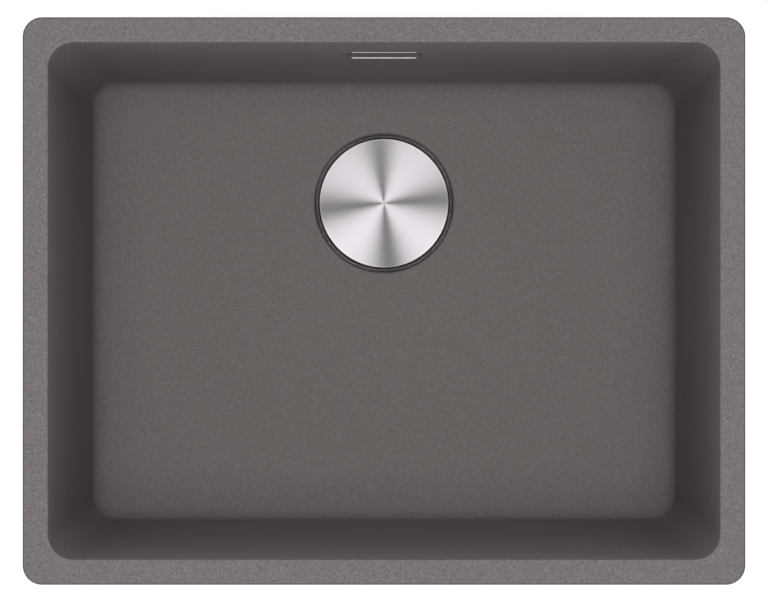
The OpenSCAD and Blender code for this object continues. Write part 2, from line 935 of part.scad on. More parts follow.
cuff_l = 18;
clip_w = 9;
hose_top_z = nozzle_top_z - 1;
drop_l = hose_top_z - inlet_z - hose_bend_r;
bend_l = hose_bend_r * PI / 2;
end_l = hose_straight + socket_l - socket_gap;
hose_l = drop_l + bend_l + end_l;

// The hose's centre line at a length from its top end, and the direction square to it
function hose_turn(s) = 90 * min(1, max(0, (s - drop_l) / bend_l));
function hose_at(s) =
  let (a = hose_turn(s))
    [
      nozzle_y - hose_bend_r + hose_bend_r * cos(a) - max(0, s - drop_l - bend_l),
      hose_top_z - min(s, drop_l) - hose_bend_r * sin(a)
    ];
function hose_ring(s, r) =
  let (c = hose_at(s), a = hose_turn(s))
    [for (i = [0:hose_sides - 1])
      let (t = 360 * (i + 0.5) / hose_sides, across = r * cos(t))
        [r * sin(t), c[0] + across * cos(a), c[1] - across * sin(a)]];

ribs = floor((hose_l - 2 * cuff_l) / rib_pitch);
ribs_start = (hose_l - ribs * rib_pitch) / 2;
bore_steps = 24;
hose_rings = concat(
  [hose_ring(0, hose_r), hose_ring(ribs_start - 1, hose_r)],
  [for (i = [0:ribs - 1]) each [
    hose_ring(ribs_start + (i + 0.1) * rib_pitch, hose_r - rib_h),
    hose_ring(ribs_start + (i + 0.6) * rib_pitch, hose_r)
  ]],
  [hose_ring(hose_l - ribs_start + 1, hose_r), hose_ring(hose_l, hose_r)],
  [for (i = [bore_steps:-1:0]) hose_ring(hose_l * i / bore_steps, hose_bore_r)]
);

module overflow_hose() {
  color("#3a3a3c")
    closed_loft(hose_rings);
}

worm_r = 3;
worm_l = 12;
worm_head_l = 3;
worm_inset = 1;

// A worm-drive clip around the hose's top cuff
module hose_clip() {
  clip_z = hose_top_z - cuff_l / 2 - clip_w / 2;
  color("#b9b9bb")
    translate([0, nozzle_y, clip_z])
      difference() {
        union() {
          cylinder(r = clip_r, h = clip_w);
          translate([clip_r - worm_inset, -worm_l / 2, clip_w / 2])
            rotate([-90, 0, 0]) {
              cylinder(r = worm_r, h = worm_l);
              translate([0, 0, -worm_head_l])
                cylinder(r = worm_r, h = 2 * worm_head_l, $fn = 6);
            }
        }
        translate([0, 0, -over])
          cylinder(r = hose_r + pin_gap, h = clip_w + 2 * over);
      }
}

nut_r = inlet_r + 3.3;
nut_l = 17;
nut_lip_t = 2.5;
nut_ribs = 12;
washer_l = 3.5;
nut_end_y = inlet_y + washer_l + nut_lip_t;

// Puts a piece on the inlet's axis, with its +Z running out of the inlet's mouth
module at_inlet(y) {
  translate([0, y, inlet_z])
    rotate([-90, 0, 0])
      children();
}

module hose_nut() {
  color("#4a4a4d")
    difference() {
      union() {
        at_inlet(nut_end_y - nut_l)
          cylinder(r = nut_r - 1, h = nut_l);
        at_inlet(nut_end_y - nut_l)
          for (i = [1:nut_ribs])
            rotate(360 * i / nut_ribs)
              translate([nut_r - 2.5, -1.5, 1])
                cube([2.5, 3, nut_l - 2]);
      }
      at_inlet(nut_end_y - nut_l - over)
        cylinder(r = inlet_r + pin_gap, h = nut_l + over - nut_lip_t);
      at_inlet(inlet_y)
        cylinder(r = hose_r + 0.4, h = nut_l);
    }
}

module hose_washer() {
  color("#232323")
    at_inlet(inlet_y)
      difference() {
        cylinder(r = inlet_r, h = washer_l);
        translate([0, 0, -over])
          cylinder(r = hose_r + pin_gap, h = washer_l + 2 * over);
      }
}

bowl();
rim_inserts();
cup_seal();
strainer_cup();
body_seal();
waste_body();
hub_insert();
clamp_screw();
strainer_basket();
plug_seal();
basket_stem();
stem_nut();
drain_cover();
cover_spider();
overflow_plate();
overflow_seal();
overflow_housing();
overflow_inserts();
overflow_screws();
overflow_hose();
hose_clip();
hose_nut();
hose_washer();
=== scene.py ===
import math

import bmesh
import bpy
from mathutils import Matrix, Vector


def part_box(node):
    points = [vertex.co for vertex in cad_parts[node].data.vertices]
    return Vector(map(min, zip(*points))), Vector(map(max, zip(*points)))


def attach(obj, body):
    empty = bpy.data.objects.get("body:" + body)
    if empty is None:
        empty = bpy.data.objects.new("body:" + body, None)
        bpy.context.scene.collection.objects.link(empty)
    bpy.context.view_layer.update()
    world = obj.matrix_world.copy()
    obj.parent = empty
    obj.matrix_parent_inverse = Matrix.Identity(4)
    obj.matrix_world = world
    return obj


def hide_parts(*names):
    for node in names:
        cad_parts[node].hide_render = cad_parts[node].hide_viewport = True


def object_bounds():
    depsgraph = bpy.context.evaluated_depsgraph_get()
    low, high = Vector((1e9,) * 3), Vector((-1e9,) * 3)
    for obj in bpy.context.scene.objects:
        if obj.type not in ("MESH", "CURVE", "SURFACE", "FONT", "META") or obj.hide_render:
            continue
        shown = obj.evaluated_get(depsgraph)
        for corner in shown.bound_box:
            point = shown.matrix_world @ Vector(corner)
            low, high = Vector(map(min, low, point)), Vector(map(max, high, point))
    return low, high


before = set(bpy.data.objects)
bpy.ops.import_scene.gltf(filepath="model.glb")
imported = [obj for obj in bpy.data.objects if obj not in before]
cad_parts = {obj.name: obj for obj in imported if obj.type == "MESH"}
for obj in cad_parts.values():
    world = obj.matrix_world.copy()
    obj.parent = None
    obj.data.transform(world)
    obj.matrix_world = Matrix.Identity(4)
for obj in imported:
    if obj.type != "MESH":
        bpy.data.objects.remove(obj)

cad_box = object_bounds()

# Camera. The photograph looks straight down into the bowl from 2.8 m above the rim, with the
# back of the sink at the top of the picture, through a long lens that keeps the walls narrow.
CAMERA_HEIGHT, CAMERA_LENS = 2.816, 170.72

camera_data = bpy.data.cameras.new("camera")
camera_data.sensor_width = 36.0
camera_data.lens = CAMERA_LENS
camera_data.clip_end = 60.0
camera = bpy.data.objects.new("camera", camera_data)
camera.location = (0, 0, CAMERA_HEIGHT)
bpy.context.collection.objects.link(camera)
bpy.context.scene.camera = camera

# Studio. A white floor just under the waste outlet, clear from below, and one soft light overhead
# that keeps the bowl's floor even. The white sky is brighter low down and to the front and back.
# The steel mirrors four pale panels in it, dark between them and straight above.


def linear(code):
    """The linear colour of an sRGB hex code such as "8a8683"."""
    parts = [int(code[i:i + 2], 16) / 255 for i in (0, 2, 4)]
    return [p / 12.92 if p <= 0.04045 else ((p + 0.055) / 1.055) ** 2.4 for p in parts] + [1.0]


def add(tree, kind, sockets=None, **settings):
    """Adds a node with its settings; each entry of sockets is a value or another node's output."""
    made = tree.nodes.new(kind)
    for name, value in settings.items():
        setattr(made, name, value)
    for key, value in (sockets or {}).items():
        if isinstance(value, bpy.types.NodeSocket):
            tree.links.new(value, made.inputs[key])
        else:
            made.inputs[key].default_value = value
    return made


# What lights the sink: levels of the sky, and how high its brighter foot reaches, as the sine of
# the angle above the horizon
SKY_LEVEL, SKY_LOW_LEVEL, SKY_UNEVEN = 0.37, 1.95, 1.4
FOOT_FROM, FOOT_TO = 0.08, 0.36
OVERHEAD_LEVEL, OVERHEAD_LEAN, OVERHEAD_WIDTH = 1.71, math.radians(2), math.radians(35)
# What the steel mirrors: the panels and the gaps between them, the opening straight above with
# its faint red, a dimmer band below them that the lifted cover shows against, and white lowest
PANEL_LEVEL, PANEL_TURN = 2.05, math.radians(4.7)
GAP_LEVEL, GAP_FROM, GAP_TO, SIDE_GAP_SHARE = 0.25, 0.03, 0.13, 0.8
OPENING_LEVEL, OPENING_TINT = 0.05, (1.0, 0.8, 0.78, 1.0)
OPENING_INNER, OPENING_OUTER = math.radians(6), math.radians(11)
BAND_SHARE, BAND_FROM, BAND_TO = 0.25, 0.55, 0.75
WHITE_FROM, WHITE_TO = 0.15, 0.3

world = bpy.data.worlds.new("studio_sky")
world.use_nodes = True
sky = world.node_tree
sky.nodes.clear()
path = add(sky, "ShaderNodeLightPath")
direction = add(sky, "ShaderNodeTexCoord").outputs["Generated"]
view = add(sky, "ShaderNodeSeparateXYZ", {0: direction})
turned_view = add(sky, "ShaderNodeVectorRotate", {"Vector": direction, "Angle": -PANEL_TURN},
                  rotation_type="Z_AXIS")
quadrant = add(sky, "ShaderNodeVectorMath", {0: turned_view.outputs[0]}, operation="ABSOLUTE")
across = add(sky, "ShaderNodeSeparateXYZ", {0: quadrant.outputs[0]})
closer = add(sky, "ShaderNodeMath", {0: across.outputs[1], 1: SIDE_GAP_SHARE}, operation="MULTIPLY")
nearest = add(sky, "ShaderNodeMath", {0: across.outputs[0], 1: closer.outputs[0]}, operation="MINIMUM")
panels = add(sky, "ShaderNodeMapRange", {"Value": nearest.outputs[0], "From Min": GAP_FROM, "From Max": GAP_TO,
                                         "To Min": GAP_LEVEL, "To Max": PANEL_LEVEL},
             interpolation_type="SMOOTHSTEP")
opening = add(sky, "ShaderNodeMapRange", {"Value": view.outputs[2], "From Min": math.cos(OPENING_OUTER),
                                          "From Max": math.cos(OPENING_INNER), "To Min": 1.0,
                                          "To Max": OPENING_LEVEL}, interpolation_type="SMOOTHSTEP")
above = add(sky, "ShaderNodeMath", {0: panels.outputs[0], 1: opening.outputs[0]}, operation="MULTIPLY")
band = add(sky, "ShaderNodeMapRange", {"Value": view.outputs[2], "From Min": BAND_FROM, "From Max": BAND_TO,
                                       "To Min": BAND_SHARE, "To Max": 1.0}, interpolation_type="SMOOTHSTEP")
upper = add(sky, "ShaderNodeMath", {0: above.outputs[0], 1: band.outputs[0]}, operation="MULTIPLY")
low = add(sky, "ShaderNodeMapRange", {"Value": view.outputs[2], "From Min": WHITE_FROM, "From Max": WHITE_TO,
                                      "To Min": 1.0, "To Max": 0.0}, interpolation_type="SMOOTHSTEP")
mirrored = add(sky, "ShaderNodeMix", {0: low.outputs[0], 2: upper.outputs[0], 3: 1.0}, data_type="FLOAT")
to_side = add(sky, "ShaderNodeMath", {0: view.outputs[0], 1: view.outputs[0]}, operation="MULTIPLY")
to_back = add(sky, "ShaderNodeMath", {0: view.outputs[1], 1: view.outputs[1]}, operation="MULTIPLY")
lopsided = add(sky, "ShaderNodeMath", {0: to_back.outputs[0], 1: to_side.outputs[0]}, operation="SUBTRACT")
uneven = add(sky, "ShaderNodeMath", {0: lopsided.outputs[0], 1: SKY_UNEVEN * SKY_LEVEL, 2: SKY_LEVEL},
             operation="MULTIPLY_ADD")
foot = add(sky, "ShaderNodeMapRange", {"Value": view.outputs[2], "From Min": FOOT_FROM, "From Max": FOOT_TO,
                                       "To Min": 1.0, "To Max": 0.0}, interpolation_type="SMOOTHSTEP")
even = add(sky, "ShaderNodeMix", {0: foot.outputs[0], 2: uneven.outputs[0], 3: SKY_LOW_LEVEL}, data_type="FLOAT")
lit = add(sky, "ShaderNodeMix", {0: path.outputs["Is Glossy Ray"], 2: even.outputs[0], 3: mirrored.outputs[0]},
          data_type="FLOAT")
seen = add(sky, "ShaderNodeMath", {0: path.outputs["Is Camera Ray"], 1: path.outputs["Is Transmission Ray"]},
           operation="MAXIMUM")
level = add(sky, "ShaderNodeMix", {0: seen.outputs[0], 2: lit.outputs[0], 3: 1.0}, data_type="FLOAT")
dark_part = add(sky, "ShaderNodeMath", {0: 1.0, 1: opening.outputs[0]}, operation="SUBTRACT")
tinted = add(sky, "ShaderNodeMath", {0: dark_part.outputs[0], 1: path.outputs["Is Glossy Ray"]},
             operation="MULTIPLY")
hue = add(sky, "ShaderNodeMix", {0: tinted.outputs[0], 6: (1, 1, 1, 1), 7: OPENING_TINT}, data_type="RGBA")
light = add(sky, "ShaderNodeBackground", {"Color": hue.outputs[2], "Strength": level.outputs[0]})
add(sky, "ShaderNodeOutputWorld", {"Surface": light.outputs[0]})
bpy.context.scene.world = world

overhead = bpy.data.lights.new("overhead_softbox", "SUN")
overhead.energy = OVERHEAD_LEVEL
overhead.angle = OVERHEAD_WIDTH
overhead_lamp = bpy.data.objects.new("overhead_softbox", overhead)
overhead_lamp.rotation_euler.x = OVERHEAD_LEAN
overhead_lamp.visible_glossy = False
bpy.context.collection.objects.link(overhead_lamp)

FLOOR_REACH, FLOOR_GAP, FLOOR_GLOW = 30.0, 0.0005, 0.8

# Matt white board: it melts into the background and shows nothing but the sink's soft shadow
floor_finish = bpy.data.materials.new("white studio floor")
floor_finish.use_nodes = True
ground = floor_finish.node_tree
ground.nodes.clear()
path = add(ground, "ShaderNodeLightPath")
seen = add(ground, "ShaderNodeMath", {0: path.outputs["Is Camera Ray"], 1: path.outputs["Is Glossy Ray"]},
           operation="MAXIMUM")
lift = add(ground, "ShaderNodeMath", {0: seen.outputs[0], 1: FLOOR_GLOW}, operation="MULTIPLY")
matt = add(ground, "ShaderNodeBsdfDiffuse", {"Color": linear("959595")})
glow = add(ground, "ShaderNodeEmission", {"Color": (1, 1, 1, 1), "Strength": lift.outputs[0]})
both = add(ground, "ShaderNodeAddShader", {0: matt.outputs[0], 1: glow.outputs[0]})
clear = add(ground, "ShaderNodeBsdfTransparent")
side = add(ground, "ShaderNodeNewGeometry")
one_way = add(ground, "ShaderNodeMixShader", {0: side.outputs["Backfacing"], 1: both.outputs[0],
                                              2: clear.outputs[0]})
add(ground, "ShaderNodeOutputMaterial", {"Surface": one_way.outputs[0]})

floor_z = cad_box[0].z - FLOOR_GAP
floor_corners = [(x * FLOOR_REACH, y * FLOOR_REACH, floor_z) for x, y in ((-1, -1), (1, -1), (1, 1), (-1, 1))]
floor_mesh = bpy.data.meshes.new("studio_floor")
floor_mesh.from_pydata(floor_corners, [], [(0, 1, 2, 3)])
floor_mesh.materials.append(floor_finish)
studio_floor = bpy.data.objects.new("studio_floor", floor_mesh)
bpy.context.collection.objects.link(studio_floor)

# Bowl. One casting of quartz grains in acrylic resin, poured face down in a mould: smooth and
# finely speckled inside, sandy on its back. The rim's top is ground flat, which opens the grain.
MM = 0.001


def surface(name, colour, roughness, metallic=0.0, specular=0.5, anisotropic=0.0):
    """A new material; returns it with its node tree, its shader and the object coordinates."""
    material = bpy.data.materials.new(name)
    material.use_nodes = True
    tree = material.node_tree
    shader = tree.nodes["Principled BSDF"]
    settings = {"Base Color": linear(colour), "Roughness": roughness, "Metallic": metallic,
                "Specular IOR Level": specular, "Anisotropic": anisotropic}
    for socket, value in settings.items():
        shader.inputs[socket].default_value = value
    place = add(tree, "ShaderNodeTexCoord").outputs["Object"]
    return material, tree, shader, place


# The real grains are 0.1 to 0.7 mm wide, and 0.8 to 1.3 mm here, so that they show
PATCH_GRAINS, FLECK_GRAINS, PALE_FLECKS = 2.2, 2.6, 0.4


def composite(name, dark, middle, light, grain, contrast, flecks, bump, roughness=0.8):
    """Granite composite: grains of a width in mm around a middle colour, a few dark or light
    flecks among them that stand out by a share, and matt resin that binds them all."""
    material, tree, shader, place = surface(name, middle, roughness, specular=0.18)
    patches = add(tree, "ShaderNodeTexNoise", {"Vector": place, "Scale": 1 / (grain * PATCH_GRAINS * MM),
                                               "Detail": 2.0, "Roughness": 0.7})
    grains = add(tree, "ShaderNodeTexVoronoi", {"Vector": place, "Scale": 1 / (grain * MM)})
    tone = add(tree, "ShaderNodeSeparateColor", {0: grains.outputs["Color"]})
    mixed = add(tree, "ShaderNodeMath", {0: tone.outputs[0], 1: patches.outputs[0]}, operation="ADD")
    spread = add(tree, "ShaderNodeMapRange", {"Value": mixed.outputs[0], "From Min": 1 - 0.5 / contrast,
                                              "From Max": 1 + 0.5 / contrast})
    ramp = add(tree, "ShaderNodeValToRGB", {0: spread.outputs[0]})
    stops = ramp.color_ramp.elements
    stops[0].color = linear(dark)
    stops[1].color = linear(light)
    stops.new(0.5).color = linear(middle)
    spots = add(tree, "ShaderNodeTexVoronoi", {"Vector": place, "Scale": 1 / (grain * FLECK_GRAINS * MM)})
    draw = add(tree, "ShaderNodeSeparateColor", {0: spots.outputs["Color"]})
    size = add(tree, "ShaderNodeMapRange", {"Value": draw.outputs[0], "To Min": 0.12, "To Max": 0.3})
    within = add(tree, "ShaderNodeMath", {0: spots.outputs["Distance"], 1: size.outputs[0]}, operation="DIVIDE")
    fleck = add(tree, "ShaderNodeMapRange", {"Value": within.outputs[0], "From Min": 0.7, "From Max": 1.2,
                                             "To Min": flecks, "To Max": 0.0})
    pale = add(tree, "ShaderNodeMath", {0: draw.outputs[1], 1: 1 - PALE_FLECKS}, operation="GREATER_THAN")
    kind = add(tree, "ShaderNodeMix", {0: pale.outputs[0], 6: linear(dark), 7: linear(light)}, data_type="RGBA")
    mixture = add(tree, "ShaderNodeMix", {0: fleck.outputs[0], 6: ramp.outputs[0], 7: kind.outputs[2]},
                  data_type="RGBA")
    tree.links.new(mixture.outputs[2], shader.inputs["Base Color"])
    relief = add(tree, "ShaderNodeBump", {"Height": mixed.outputs[0], "Strength": bump, "Distance": 0.1 * MM})
    tree.links.new(relief.outputs[0], shader.inputs["Normal"])
    return material


def corner_ring(half_w, half_d, radius, z, steps=18):
    """One level of a rounded rectangle, anticlockwise from the right."""
    ring = []
    for quarter, (side_x, side_y) in enumerate(((1, 1), (-1, 1), (-1, -1), (1, -1))):
        for i in range(steps + 1):
            turn = math.radians(90 * (quarter + i / steps))
            ring.append(Vector((side_x * (half_w - radius) + radius * math.cos(turn),
                                side_y * (half_d - radius) + radius * math.sin(turn), z)))
    return ring


def loft(levels):
    """A closed skin over (ring, finish) levels, from the last one back to the first."""
    bm = bmesh.new()
    rows = [[bm.verts.new(point) for point in ring] for ring, _ in levels]
    count = len(rows[0])
    for i, (_, finish) in enumerate(levels):
        here, there = rows[i], rows[(i + 1) % len(rows)]
        for j in range(count):
            k = (j + 1) % count
            bm.faces.new((here[j], here[k], there[k], there[j])).material_index = finish
    bmesh.ops.recalc_face_normals(bm, faces=bm.faces)
    return bm


def lathe(profile, segments=128):
    """Turns a closed outline in (radius, z) about the Z axis."""
    bm = bmesh.new()
    turns = [math.tau * i / segments for i in range(segments)]
    rows = []
    for radius, z in profile:
        on_axis = radius < 1e-4
        ring = [(0, 0, z)] if on_axis else [(radius * math.cos(t), radius * math.sin(t), z) for t in turns]
        rows.append([bm.verts.new(point) for point in ring])
    for here, there in zip(rows, rows[1:] + rows[:1]):
        if len(here) + len(there) > 2:
            for j in range(segments):
                k = (j + 1) % segments
                corners = [here[j % len(here)], here[k % len(here)], there[k % len(there)], there[j % len(there)]]
                bm.faces.new(list(dict.fromkeys(corners)))
    bmesh.ops.recalc_face_normals(bm, faces=bm.faces)
    return bm


def prism(outline, low, high):
    """An outline in (x, z) pushed along Y from low to high."""
    bm = bmesh.new()
    ends = [[bm.verts.new((x, y, z)) for x, z in outline] for y in (low, high)]
    count = len(outline)
    for i in range(count):
        j = (i + 1) % count
        bm.faces.new((ends[0][i], ends[0][j], ends[1][j], ends[1][i]))
    bm.faces.new(ends[0])
    bm.faces.new(ends[1])
    bmesh.ops.recalc_face_normals(bm, faces=bm.faces)
    return bm


def arc(x, z, radius, start, end, steps=6):
    """Points on an arc about (x, z), with angles in degrees."""
    turns = [math.radians(start + (end - start) * i / steps) for i in range(steps + 1)]
    return [(x + radius * math.cos(t), z + radius * math.sin(t)) for t in turns]


def thing(name, bm, *materials, place=(0, 0, 0)):
    """A new object from a bmesh in millimetres, moved to its place."""
    bmesh.ops.translate(bm, vec=place, verts=bm.verts)
    bmesh.ops.scale(bm, vec=(MM, MM, MM), verts=bm.verts)
    mesh = bpy.data.meshes.new(name)
    bm.to_mesh(mesh)
    bm.free()
    for material in materials:
        mesh.materials.append(material)
    made = bpy.data.objects.new(name, mesh)
    bpy.context.collection.objects.link(made)
    return made


def baked(made):
    """Turns an object's modifiers into its plain mesh."""
    bpy.context.view_layer.update()
    mesh = bpy.data.meshes.new_from_object(made.evaluated_get(bpy.context.evaluated_depsgraph_get()))
    made.modifiers.clear()
    made.data = mesh
    return made


def cut(made, cutter, operation="DIFFERENCE"):
    """Cuts one object out of another, or joins them, and deletes the cutter."""
    boolean = made.modifiers.new("cut", "BOOLEAN")
    boolean.object = cutter
    boolean.operation = operation
    boolean.solver = "EXACT"
    baked(made)
    bpy.data.objects.remove(cutter)


def finished(made, body, node, crease=32):
    """Smooths a piece up to its creases and lets it stand for its node on its body."""
    for polygon in made.data.polygons:
        polygon.use_smooth = True
    made.data.set_sharp_from_angle(angle=math.radians(crease))
    flat = made.modifiers.new("flat faces", "WEIGHTED_NORMAL")
    flat.keep_sharp = True
    baked(made)
    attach(made, body)
    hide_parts(node)


def reach(node):
    """A node's lowest and highest corner in millimetres."""
    return [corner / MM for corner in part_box(node)]


def tree_of(name, inputs):
    """A Geometry Nodes tree with named inputs; returns it with the node that holds them."""
    tree = bpy.data.node_groups.new(name, "GeometryNodeTree")
    for label, kind in [("Geometry", "Geometry"), *inputs]:
        tree.interface.new_socket(label, in_out="INPUT", socket_type="NodeSocket" + kind)
    tree.interface.new_socket("Geometry", in_out="OUTPUT", socket_type="NodeSocketGeometry")
    return tree, add(tree, "NodeGroupInput").outputs


def grown(made, tree, **values):
    """Runs a tree on an object with the given inputs and keeps the result as a plain mesh."""
    modifier = made.modifiers.new(tree.name, "NODES")
    modifier.node_group = tree
    sockets = {item.name: item.identifier for item in tree.interface.items_tree if item.in_out == "INPUT"}
    for label, value in values.items():
        modifier[sockets[label.replace("_", " ")]] = value
    return baked(made)


# Copies of one small piece at an object's own points
at_points, given = tree_of("copies at points", [("Copy", "Object"), ("Material", "Material")])
one = add(at_points, "GeometryNodeObjectInfo", {"Object": given["Copy"]})
copies = add(at_points, "GeometryNodeInstanceOnPoints", {"Points": given["Geometry"],
                                                         "Instance": one.outputs["Geometry"]})
solid = add(at_points, "GeometryNodeRealizeInstances", {0: copies.outputs[0]})
coated = add(at_points, "GeometryNodeSetMaterial", {"Geometry": solid.outputs[0], "Material": given["Material"]})
add(at_points, "NodeGroupOutput", {0: coated.outputs[0]})


def points(name, places):
    """An object of bare points, given in millimetres."""
    bm = bmesh.new()
    for place in places:
        bm.verts.new(place)
    return thing(name, bm)


def repeated(name, copy, places, material):
    """A piece made of copies of one object at places in millimetres; the original is deleted."""
    made = grown(points(name, places), at_points, Copy=copy, Material=material)
    bpy.data.objects.remove(copy)
    return made


# The mould leaves the grains under a matt skin of resin: an even warm grey, finely clouded
moulded = composite("granite composite, moulded face", "676160", "736d6c", "7f7978", 0.9, 0.52, 0.7, 0.2)
# Grinding opens the grains: paler than the bowl, peppered with dark and white flecks
ground_flat = composite("granite composite, ground rim", "565150", "787272", "9b9595", 0.8, 0.34, 0.72, 0.3)
# The open side of the cast keeps a coarse, mottled and slightly browner skin, rough as sand
cast_back = composite("granite composite, cast back", "5a5654", "6f6a67", "878280", 1.3, 0.6, 0.6, 0.9, 0.9)
# Painted shade: a thin dark line on the rim's outer rounding, and the recess floor painted dark
painted_shade_skin = composite("granite composite, painted edge shade", "3a3636", "423e3d", "4b4746", 0.9, 0.5, 0.4, 0.1)

rim_low, rim_high = reach("bowl")
cover_low, cover_high = reach("drain_cover")
drain = Vector(((cover_low.x + cover_high.x) / 2, (cover_low.y + cover_high.y) / 2, 0))
bowl_floor_z = cover_high.z
# Sizes in millimetres: the rim and its edges, the corners seen from above, and the wall
rim_ledge, rim_t, edge, mouth_edge = 19.5, 12, 1.5, 0.45
rim_half_w, rim_half_d = rim_high.x, -rim_low.y
mouth_half_w, mouth_half_d = rim_half_w - rim_ledge, rim_half_d - rim_ledge
bowl_corner, rim_corner = 20, 15
wall, draft, root, fillet, floor_fall = 9, math.radians(6.2), 2, 16, 3
wall_out = wall / math.cos(draft)
fillet_z = bowl_floor_z + floor_fall + fillet
# The waste's hole, the recess around it, its floor's margin outside the painted shade, and the pad under the floor
hole_r, recess_r, recess_depth, recess_margin, lip = 45.5, 57.75, 6, 0.5, 1.35
pad_r, pad_z, pad_edge = 64, rim_low.z, 1
recess_z, under_z = bowl_floor_z - recess_depth, bowl_floor_z - wall


def inset(z):
    """How far the wall's face leans in at a height."""
    return max(0, -z - edge) * math.tan(draft)


def mouth_ring(shrink, radius, z):
    """A level of the bowl, drawn in from the mouth's outline."""
    return corner_ring(mouth_half_w - shrink, mouth_half_d - shrink, radius, z)


def rim_ring(shrink, z):
    """A level of the rim's outer edge."""
    return corner_ring(rim_half_w - shrink, rim_half_d - shrink, rim_corner - shrink, z)


def drain_ring(radius, z, count=len(rim_ring(0, 0)), first=0.5):
    """A round level about the waste's axis, whose first point lies a share of a step round."""
    turns = [math.tau * (i + first) / count for i in range(count)]
    return [drain + Vector((radius * math.cos(t), radius * math.sin(t), z)) for t in turns]


def fillet_ring(radius, corner, turn):
    """A level of the rounding between wall and floor, at an angle below the horizontal."""
    lean = inset(fillet_z) + fillet / math.cos(draft) - radius * math.cos(turn)
    tighter = radius * (math.cos(draft) - math.cos(turn))
    return mouth_ring(lean, corner - tighter, fillet_z - radius * math.sin(turn))


def between(ring_a, ring_b, steps):
    """Rings part of the way from one ring to another."""
    return [[a.lerp(b, i / steps) for a, b in zip(ring_a, ring_b)] for i in range(1, steps)]


MOULDED, GROUND, BACK, PAINTED_SHADE = range(4)
fillet_turns = [draft + (math.pi / 2 - draft) * i / 12 for i in range(13)]
quarter = [math.pi / 2 * i / 6 for i in range(7)]
floor_rim = drain_ring(recess_r + lip, bowl_floor_z)
floor_foot = fillet_ring(fillet, bowl_corner, math.pi / 2)
pad_foot = drain_ring(pad_r, under_z)
# Inside: the floor from the recess outwards, the fillet, the wall and the rounding of the mouth
levels = [(ring, MOULDED) for ring in [floor_rim, *between(floor_rim, floor_foot, 14)]]
levels += [(fillet_ring(fillet, bowl_corner, t), MOULDED) for t in reversed(fillet_turns)]
levels.append((mouth_ring(0, bowl_corner, -edge), MOULDED))
for t in reversed(quarter):
    out = mouth_edge * (1 - math.sin(t))
    levels.append((mouth_ring(-out, bowl_corner + out, -mouth_edge * (1 - math.cos(t))), MOULDED))
# Rim: ground flat on top, then over its outer edge, back underneath and down into the wall
levels[-1] = (levels[-1][0], GROUND)
for t in quarter:
    # The steeper part of the outer rounding is painted dark, as painted shade
    skin = PAINTED_SHADE if t in quarter[2:6] else MOULDED
    levels.append((rim_ring(edge * (1 - math.sin(t)), -edge * (1 - math.cos(t))), skin))
for t in quarter:
    levels.append((rim_ring(edge * (1 - math.cos(t)), -rim_t + edge * (1 - math.sin(t))), BACK))
for t in quarter:
    out = root * (1 - math.sin(t))
    levels.append((mouth_ring(inset(-rim_t - root) - wall_out - out, bowl_corner + wall + out,
                              -rim_t - root + root * math.cos(t)), BACK))
# Outside: the fillet's back, in under the floor to the pad, and up through the hole and recess
levels += [(fillet_ring(fillet + wall, bowl_corner + wall, t), BACK) for t in fillet_turns]
levels += [(ring, BACK) for ring in between(levels[-1][0], pad_foot, 10)]
levels += [(pad_foot, BACK), (drain_ring(pad_r, pad_z + pad_edge), BACK)]
levels += [(drain_ring(pad_r - pad_edge, pad_z), BACK), (drain_ring(hole_r, pad_z), BACK)]
# The recess floor from the hole out to its margin is painted dark, as painted shade
levels += [(drain_ring(hole_r, recess_z), PAINTED_SHADE), (drain_ring(recess_r - recess_margin, recess_z), MOULDED)]
levels += [(drain_ring(recess_r, recess_z), MOULDED)]
levels += [(drain_ring(r, z), MOULDED) for r, z in arc(recess_r + lip, bowl_floor_z - lip, lip, 180, 90)[:-1]]
bowl = thing("bowl_casting", loft(levels), moulded, ground_flat, cast_back, painted_shade_skin)

# The overflow's opening in the back wall, the flat pad cast behind it, and the inserts' pockets
slot_z, slot_w, slot_h, slot_corner, slot_from_y, slot_to_y = -56, 59, 17, 4, 180, 220
seal_low, seal_high = reach("overflow_seal")
boss_w, boss_h, boss_corner, boss_from_y = seal_high.x - seal_low.x, 38, 5, 198
insert_r, insert_l, insert_inset, pair_x, pair_y = 3.5, 8, 6, 190, 120


def rounded_outline(width, height, radius, steps=8):
    """A rounded rectangle in (x, z) about the overflow's middle."""
    return [(point.x, slot_z + point.y) for point in corner_ring(width / 2, height / 2, radius, 0, steps)]


boss = prism(rounded_outline(boss_w, boss_h, boss_corner), boss_from_y, seal_low.y)
cut(bowl, thing("boss", boss, cast_back), "UNION")
slot = prism(rounded_outline(slot_w, slot_h, slot_corner), slot_from_y, slot_to_y)
cut(bowl, thing("slot", slot, moulded))
sides = [(x, y) for x in (-1, 1) for y in (-1, 1)]
insert_places = [(x * pair_x, y * (rim_half_d - insert_inset), -rim_t) for x, y in sides]
insert_places += [(x * (rim_half_w - insert_inset), y * pair_y, -rim_t) for x, y in sides]
pocket_profile = [(0, -1), (insert_r, -1), (insert_r, insert_l), (0, insert_l)]
pocket = thing("pocket", lathe(pocket_profile, 48), cast_back)
cut(bowl, repeated("pockets", pocket, insert_places, cast_back))
finished(bowl, "sink", "bowl")

# Inserts in the rim. Eight turned brass bushes, cast into the rim's underside with their
# ends flush, that take the screws of the clips holding the sink up under the worktop.
# Turned brass: a warm yellow glint in the grey, a little cloudy where the tool has rubbed
brass, tree, shader, place = surface("brass, turned", "b5904c", 0.3, 1.0)
turning = add(tree, "ShaderNodeTexNoise", {"Vector": place, "Scale": 1 / (0.8 * MM), "Detail": 2.0})
worn = add(tree, "ShaderNodeMapRange", {"Value": turning.outputs[0], "To Min": 0.22, "To Max": 0.4})
tree.links.new(worn.outputs[0], shader.inputs["Roughness"])

